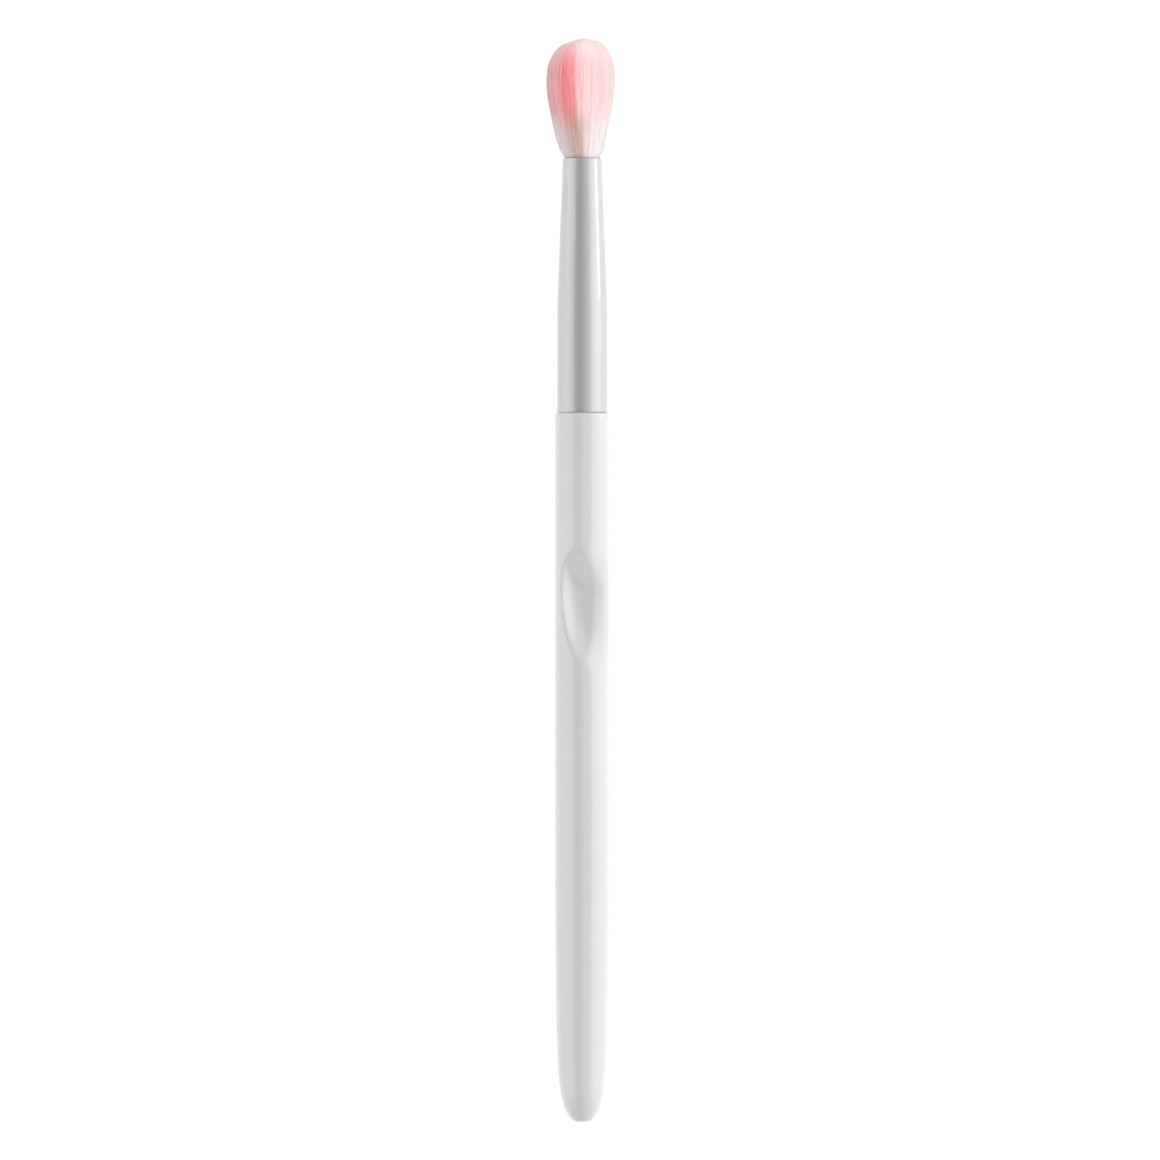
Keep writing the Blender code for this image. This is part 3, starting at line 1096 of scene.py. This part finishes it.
    def rises(self, tips: np.ndarray, root_depth: float) -> np.ndarray:
        """Place each filament's rings: one at the root, the rest from just inside the mouth to the tip.

        Args:
            tips: the height of each tip over the mouth.
            root_depth: how far the roots reach below it.

        Returns:
            Heights over the mouth, as filaments by rings.
        """
        start = -self.filament_radius * self.start_depth
        visible = start + (tips[:, None] - start) * self.ring_shares()
        root = np.full((len(tips), 1), -root_depth)
        return np.concatenate([root, visible], axis=1)

    def paths(self, feet: np.ndarray, rises: np.ndarray, chance: np.random.Generator) -> np.ndarray:
        """Middle lines of the filaments.

        A filament keeps its place in the unit disc, pulled towards its clump's middle and swaying by a
        sine of its height, and the disc is scaled by the bundle's outline and by the dome's,
        (1 - u^power)^(1 / power) with u the share of the dome's height. Near the top u stops growing,
        so that the tips spread over the end and don't meet in a point. From front to back the bundle
        is a little flatter. It bends a little to the left where it leaves the mouth, and the dome
        leans back to the right by u^2.

        Args:
            feet: points of the unit disc.
            rises: each filament's ring heights over the mouth.
            chance: the source of random numbers.

        Returns:
            Points as filaments by rings by three, heights still over the mouth.
        """
        middles = self.clumps(feet, chance)
        pull = self.clump_pull * smooth_step(0.0, self.widening_length / 2.0, rises)[..., None]
        swing = chance.normal(size=(len(feet), 1, 2)) * self.sway
        turn = np.sin(math.pi * rises / self.dome_base + chance.random((len(feet), 1)) * math.tau)
        loose = smooth_step(0.0, self.widening_length, rises)
        spot = feet[:, None] + pull * (middles - feet)[:, None] + swing * (turn * loose)[..., None]
        over = np.maximum(np.linalg.norm(spot, axis=-1, keepdims=True), 1.0)
        up = self.dome_share(rises)
        dome = self.dome_width(-smooth_max(-up, -self.spread_from, self.spread_round))
        radius = (self.outline(rises) - self.filament_radius) * dome
        flat = spot / over * radius[..., None] * np.array([1.0, self.depth_share])
        flat[..., 0] += self.bend * smooth_step(0.0, self.bend_length, rises) + self.dome_shift * up ** 2
        return np.concatenate([flat, rises[..., None]], axis=-1)

    def tubes(self, paths: np.ndarray, chance: np.random.Generator) -> np.ndarray:
        """Rings of points round the middle lines, thinning towards the tips.

        A ring is point + r (cos a, sin a, 0), for even steps of a from a random start. r is the
        filament's radius, and falls to the tip's in a smooth step from the start of the taper.

        Args:
            paths: points as filaments by rings by three.
            chance: the source of random numbers.

        Returns:
            Points as filaments by rings by sides by three.
        """
        along = np.concatenate([[0.0], self.ring_shares()])
        thin = smooth_step(self.taper_start, 1.0, along)
        radius = self.filament_radius + (self.tip_radius - self.filament_radius) * thin
        facing = chance.random((len(paths), 1)) * math.tau
        angle = facing + np.arange(self.sides) * math.tau / self.sides
        spoke = np.stack([np.cos(angle), np.sin(angle), np.zeros_like(angle)], axis=-1)
        return paths[:, :, None] + spoke[:, None] * radius[None, :, None, None]

    def dips(self, paths: np.ndarray, chance: np.random.Generator) -> np.ndarray:
        """How far the dye reaches down each filament, which is further on the left, partly as painted
        shade.

        It is a smooth step of the height over the mouth, to which a random part and a run that grows
        towards the left are added.

        Args:
            paths: points as filaments by rings by three.
            chance: the source of random numbers.

        Returns:
            Shares as filaments by rings: 0 at the root, 1 above, with a ragged rise between.
        """
        ragged = chance.normal(size=(len(paths), 1)) * self.dip_scatter
        run = self.left_dip_and_shade * self.left_shares(paths)
        return smooth_step(self.dip_low, self.dip_high, paths[..., 2] + ragged + run)

    def dyes(self, paths: np.ndarray, chance: np.random.Generator) -> np.ndarray:
        """How pink each point is, from its dye and, on the left, partly from painted shade.

        The pink is strongest in a streak left of the front, e^(-t^2) with t the angle to its middle over
        its width. The whole left is pinker too, partly real dye and partly painted shade. It fades
        towards the tips, and varies from filament to filament.

        Args:
            paths: points as filaments by rings by three.
            chance: the source of random numbers.

        Returns:
            Shares from 0, pale, to 1, full, as filaments by rings.
        """
        side = self.sides_faced(paths)
        streak = np.exp(-(((side - self.streak_side) / self.streak_width) ** 2))
        fade = 1.0 - self.tip_fade * smooth_step(self.fade_low, self.fade_high, paths[..., 2])
        spread = chance.normal(size=(len(paths), 1)) * self.dye_scatter
        dye = self.dye_all + self.left_dye_and_shade * self.left_shares(paths) + self.dye_streak * streak
        return np.clip(dye * fade + spread, 0.0, 1.0)

    def painted_shades(self, paths: np.ndarray, chance: np.random.Generator) -> np.ndarray:
        """How much painted shade each point gets where it isn't pink: a darker tan, in a streak of its
        own.

        It is e^(-t^2), with t the angle to the streak's middle over its width, times a random part.

        Args:
            paths: points as filaments by rings by three.
            chance: the source of random numbers.

        Returns:
            Shares from 0 to 1, as filaments by rings.
        """
        side = self.sides_faced(paths)
        streak = np.exp(-(((side - self.painted_shade_side) / self.painted_shade_width) ** 2))
        spread = 1.0 + chance.normal(size=(len(paths), 1)) * self.painted_shade_scatter
        return np.clip(streak * spread, 0.0, 1.0)

    def tones(self, chance: np.random.Generator) -> np.ndarray:
        """How light each filament is, about 1, the same at all its rings."""
        tone = 1.0 + chance.normal(size=(self.filament_count, 1)) * self.tone_scatter
        return np.repeat(tone, self.rings, axis=1)

    @staticmethod
    def sides_faced(paths: np.ndarray) -> np.ndarray:
        """The side that each point faces, in degrees from the front towards the right."""
        return np.degrees(np.arctan2(paths[..., 0], -paths[..., 1]))

    def left_shares(self, paths: np.ndarray) -> np.ndarray:
        """How far towards the left each point faces, (1 - sin side) / 2: 0 right, 1 left."""
        return 0.5 - 0.5 * np.sin(np.radians(self.sides_faced(paths)))

    @staticmethod
    def layer_mesh(name: str, tubes: np.ndarray, marks: dict[str, np.ndarray]) -> bpy.types.Mesh:
        """Make one mesh of many filaments.

        Quads join the rings of each filament, and a face closes each end.

        Args:
            name: the mesh's name.
            tubes: points as filaments by rings by sides by three.
            marks: values at each filament's rings, by attribute name.

        Returns:
            The mesh, smooth.
        """
        count, rings, sides = tubes.shape[:3]
        index = np.arange(count * rings * sides).reshape(count, rings, sides)
        lower, upper = index[:, :-1], index[:, 1:]
        quads = np.stack([lower, np.roll(lower, -1, axis=2), np.roll(upper, -1, axis=2), upper], axis=-1)
        faces = quads.reshape(-1, 4).tolist()
        faces += index[:, 0, ::-1].tolist()
        faces += index[:, -1].tolist()
        mesh = bpy.data.meshes.new(name)
        mesh.from_pydata(tubes.reshape(-1, 3).tolist(), [], faces)
        mesh.shade_smooth()
        for mark, values in marks.items():
            attribute = mesh.attributes.new(mark, "FLOAT", "POINT")
            attribute.data.foreach_set("value", np.repeat(values.ravel(), sides).astype(np.float32))
        return mesh

    def build(self, axis: BrushAxis) -> list[bpy.types.Object]:
        """Build the tuft's three layers over its frame node.

        Args:
            axis: the brush's axis frame.

        Returns:
            The pieces, from the inside out.
        """
        chance = np.random.default_rng(self.seed)
        mouth = axis.reach(frame["nodes"]["ferrule"])[1]
        root_depth = mouth - axis.reach(frame["nodes"]["bristle_tuft"])[0]
        feet = self.feet()
        share = np.linalg.norm(feet, axis=-1)
        rises = self.rises(self.tip_rises(feet, chance), root_depth)
        paths = self.paths(feet, rises, chance)
        marks = {
            "dip": self.dips(paths, chance),
            "dye": self.dyes(paths, chance),
            # The painted shade at the root rides on the filaments as a mark of its own
            "painted_shade": self.painted_shades(paths, chance),
            "tone": self.tones(chance),
        }
        tubes = self.tubes(paths, chance)
        placed = axis.place(tubes + np.array([0.0, 0.0, mouth]))
        pieces = []
        for layer in Layer:
            low, high = layer.value
            chosen = (share >= low) & (share < high)
            name = "tuft_" + layer.name.lower()
            mesh = self.layer_mesh(name, placed[chosen], {m: v[chosen] for m, v in marks.items()})
            pieces.append(show(name, mesh, Slot.TUFT, "bristle_tuft"))
        return pieces

    def dress(self, pieces: list[bpy.types.Object]) -> None:
        """Give every layer the same dyed filament.

        Args:
            pieces: the layers.
        """
        material = DyedFilament().material()
        for piece in pieces:
            piece.data.materials.append(material)


@dataclass
class HiddenJoints:
    """The pieces inside the ferrule, whose frame nodes are right as they are."""

    thread: HiddenFinish = COTTON
    plug: HiddenFinish = EPOXY
    glue: HiddenFinish = ADHESIVE

    def dress(self) -> None:
        """Give each node the material of the real piece."""
        finishes = {
            "binding_thread": (self.thread, Slot.THREAD),
            "root_plug": (self.plug, Slot.PLUG),
            "handle_glue": (self.glue, Slot.GLUE),
        }
        for name, (finish, slot) in finishes.items():
            node = frame["nodes"][name]
            node.data.materials.clear()
            node.data.materials.append(finish.material())
            log.info("%s: dressed as %s", name, finish.name)


@dataclass(frozen=True)
class Softbox:
    """A rectangular light that faces the brush.

    place is where its middle hangs, size its length along the brush and its width, and level how
    bright its surface is, where 1 is white.
    """

    name: str
    place: tuple[float, float, float]
    size: tuple[float, float]
    level: float


# The key hangs on the right and the fill on the left, and both reach nearly down to the table.
# The strip shows in the ferrule's taper alone, as its bright line.
KEY = Softbox("key_light", (0.03, -0.60, 0.30), (0.90, 0.62), 1.85)
FILL = Softbox("fill_light", (0.05, 0.60, 0.30), (0.90, 0.62), 1.45)
STRIP = Softbox("strip_light", (0.14, -0.50, 0.053), (0.12, 0.10), 8.0)


@dataclass
class Studio:
    """The pale table, the soft lights and the camera that looks straight down on the brush."""

    lights: tuple[Softbox, ...] = (KEY, FILL, STRIP)

    # The table's glow adds to what it reflects of the lamps, so that it is seen as white
    floor_size: float = 8.0
    floor_colour: str = "#EDEDED"
    floor_glow: float = 0.58
    mirrored_glow: float = 0.93
    sky_colour: str = "#FFFFFF"
    sky_fill: float = 0.55

    # The flag hangs below the lens and to its left. The camera doesn't see it, and it casts no shadow
    flag_height: float = 0.75
    flag_size: tuple[float, float] = (1.6, 0.505)
    flag_side: float = 0.2325
    flag_colour: str = "#161616"

    # The picture takes in frame_height along the brush
    lens: float = 200.0
    sensor: float = 36.0
    frame_height: float = 0.1767
    camera_side: float = 0.00035

    @staticmethod
    def level_sheet(
        name: str,
        middle: tuple[float, float, float],
        size: tuple[float, float],
        material: bpy.types.Material,
    ) -> bpy.types.Object:
        """Put a level sheet with four corners into the scene.

        Args:
            name: its name.
            middle: the place of its middle.
            size: its length along the brush and its width.
            material: what it is made of.

        Returns:
            The sheet.
        """
        x, y, height = middle
        half_length = size[0] / 2.0
        half_width = size[1] / 2.0
        corners = [
            (x - half_length, y - half_width, height),
            (x + half_length, y - half_width, height),
            (x + half_length, y + half_width, height),
            (x - half_length, y + half_width, height),
        ]
        mesh = bpy.data.meshes.new(name)
        mesh.from_pydata(corners, [], [(0, 1, 2, 3)])
        mesh.materials.append(material)
        sheet = bpy.data.objects.new(name, mesh)
        bpy.context.scene.collection.objects.link(sheet)
        return sheet

    @staticmethod
    def mirrored(tree: bpy.types.NodeTree, path: bpy.types.Node) -> bpy.types.NodeSocket:
        """Tell the glossy and the transmitted rays from the others.

        Args:
            tree: the node tree.
            path: its Light Path node.

        Returns:
            A socket that is 1 for those rays and 0 for the others.
        """
        either = add_node(
            tree,
            "ShaderNodeMath",
            {0: path.outputs["Is Glossy Ray"], 1: path.outputs["Is Transmission Ray"]},
            operation="MAXIMUM",
        )
        return either.outputs[0]

    def make_floor(self) -> None:
        """Lay the pale table under the brush. It keeps the brush's shadow."""
        material, tree = empty_material("matt_pale_board")
        paint = add_node(tree, "ShaderNodeBsdfDiffuse", {"Color": linear(self.floor_colour)})
        path = add_node(tree, "ShaderNodeLightPath")
        seen = add_node(
            tree,
            "ShaderNodeMath",
            {0: path.outputs["Is Camera Ray"], 1: self.floor_glow},
            operation="MULTIPLY",
        )
        strength = add_node(
            tree,
            "ShaderNodeMath",
            {0: self.mirrored(tree, path), 1: self.mirrored_glow, 2: seen.outputs[0]},
            operation="MULTIPLY_ADD",
        )
        glow = add_node(tree, "ShaderNodeEmission", {"Strength": strength.outputs[0]})
        board = add_node(tree, "ShaderNodeAddShader", {0: paint.outputs[0], 1: glow.outputs[0]})
        add_node(tree, "ShaderNodeOutputMaterial", {"Surface": board.outputs[0]})
        size = (self.floor_size, self.floor_size)
        floor = self.level_sheet("pale_table", (0.0, 0.0, 0.0), size, material)

    def make_sky(self) -> None:
        """Surround the table with white, which fills the shadows at a lower level."""
        world = bpy.data.worlds.new("white_room")
        world.use_nodes = True
        tree = world.node_tree
        tree.nodes.clear()
        path = add_node(tree, "ShaderNodeLightPath")
        seen = add_node(
            tree,
            "ShaderNodeMath",
            {0: path.outputs["Is Camera Ray"], 1: self.mirrored(tree, path)},
            operation="MAXIMUM",
        )
        strength = add_node(
            tree,
            "ShaderNodeMapRange",
            {"Value": seen.outputs[0], "To Min": self.sky_fill, "To Max": 1.0},
        )
        light = add_node(
            tree,
            "ShaderNodeBackground",
            {"Color": linear(self.sky_colour), "Strength": strength.outputs["Result"]},
        )
        add_node(tree, "ShaderNodeOutputWorld", {"Surface": light.outputs[0]})
        bpy.context.scene.world = world

    @staticmethod
    def hang_light(box: Softbox) -> None:
        """Hang a softbox so that it faces the brush.

        Its power is level x pi x area, which makes its surface as bright as level.

        Args:
            box: the softbox.
        """
        data = bpy.data.lights.new(box.name, "AREA")
        data.shape = "RECTANGLE"
        data.size, data.size_y = box.size
        data.energy = box.level * math.pi * box.size[0] * box.size[1]
        light = bpy.data.objects.new(box.name, data)
        bpy.context.scene.collection.objects.link(light)
        light.location = box.place
        light.rotation_euler.x = math.atan2(box.place[1], -box.place[2]) + math.pi

    def make_flag(self) -> None:
        """Hang the black flag, which gives the metal and the gloss their dark line."""
        material, tree = empty_material("black_felt")
        felt = add_node(tree, "ShaderNodeBsdfDiffuse", {"Color": linear(self.flag_colour)})
        add_node(tree, "ShaderNodeOutputMaterial", {"Surface": felt.outputs[0]})
        middle = (0.0, self.flag_side, self.flag_height)
        flag = self.level_sheet("black_flag", middle, self.flag_size, material)
        flag.visible_camera = False
        flag.visible_shadow = False

    def make_camera(self, axis_height: float) -> None:
        """Hang the long-lens camera over the brush, the tuft at the top of the picture.

        Its distance is picture height x lens / sensor.

        Args:
            axis_height: how high the brush's axis lies over the table.
        """
        data = bpy.data.cameras.new("overhead_camera")
        data.lens = self.lens
        data.sensor_width = self.sensor
        distance = self.frame_height * self.lens / self.sensor
        camera = bpy.data.objects.new("overhead_camera", data)
        bpy.context.scene.collection.objects.link(camera)
        turn = Matrix(((0.0, 1.0, 0.0), (-1.0, 0.0, 0.0), (0.0, 0.0, 1.0))).to_4x4()
        camera.matrix_world = Matrix.Translation((0.0, self.camera_side, axis_height + distance)) @ turn
        bpy.context.scene.camera = camera

    def build(self, axis_height: float) -> None:
        """Build the whole set.

        Args:
            axis_height: how high the brush's axis lies over the table.
        """
        scene = bpy.context.scene
        scene.view_settings.view_transform = "Standard"
        self.make_floor()
        self.make_sky()
        for box in self.lights:
            self.hang_light(box)
        self.make_flag()
        self.make_camera(axis_height)
        log.info("studio: table, sky, lights and camera")


def main() -> None:
    """Build the brush's pieces in order, then the studio."""
    axis = BrushAxis.from_mount(frame["record"]["mounts"][0])
    handle = Handle()
    handle.dress(handle.build(axis))
    ferrule = Ferrule()
    ferrule.dress(ferrule.build(axis))
    tuft = Tuft()
    tuft.dress(tuft.build(axis))
    HiddenJoints().dress()
    Studio().build(float(axis.butt[2]))


if __name__ == "__main__":
    main()
